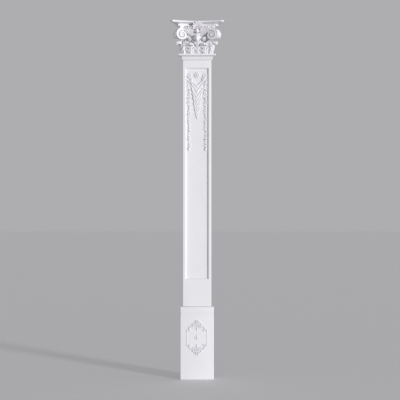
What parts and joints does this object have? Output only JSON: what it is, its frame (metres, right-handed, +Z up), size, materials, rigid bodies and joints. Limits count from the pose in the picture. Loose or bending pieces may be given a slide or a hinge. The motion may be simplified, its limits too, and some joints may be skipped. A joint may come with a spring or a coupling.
{
  "type": "pilaster",
  "caption": "Wall pilaster: plain base block with a carved lozenge, tall sunk-panel shaft with hanging cloth and leaf garlands, and a capital with acanthus leaves and corner volutes.",
  "frame": {"origin": "middle of the flat back, at the level of the floor", "axes": "+Z up the pilaster, +Y into the wall, so the carved front faces -Y, and +X to the right seen from the front"},
  "size_m": [0.45, 0.153, 3],
  "materials": {
    "base_white": "satin white paint on moulded polyurethane",
    "shaft_white": "satin white paint on moulded polyurethane",
    "capital_white": "satin white paint on moulded polyurethane"
  },
  "bodies": {
    "root": {"base": "base_white", "shaft": "shaft_white", "capital": "capital_white"}
  },
  "joints": []
}
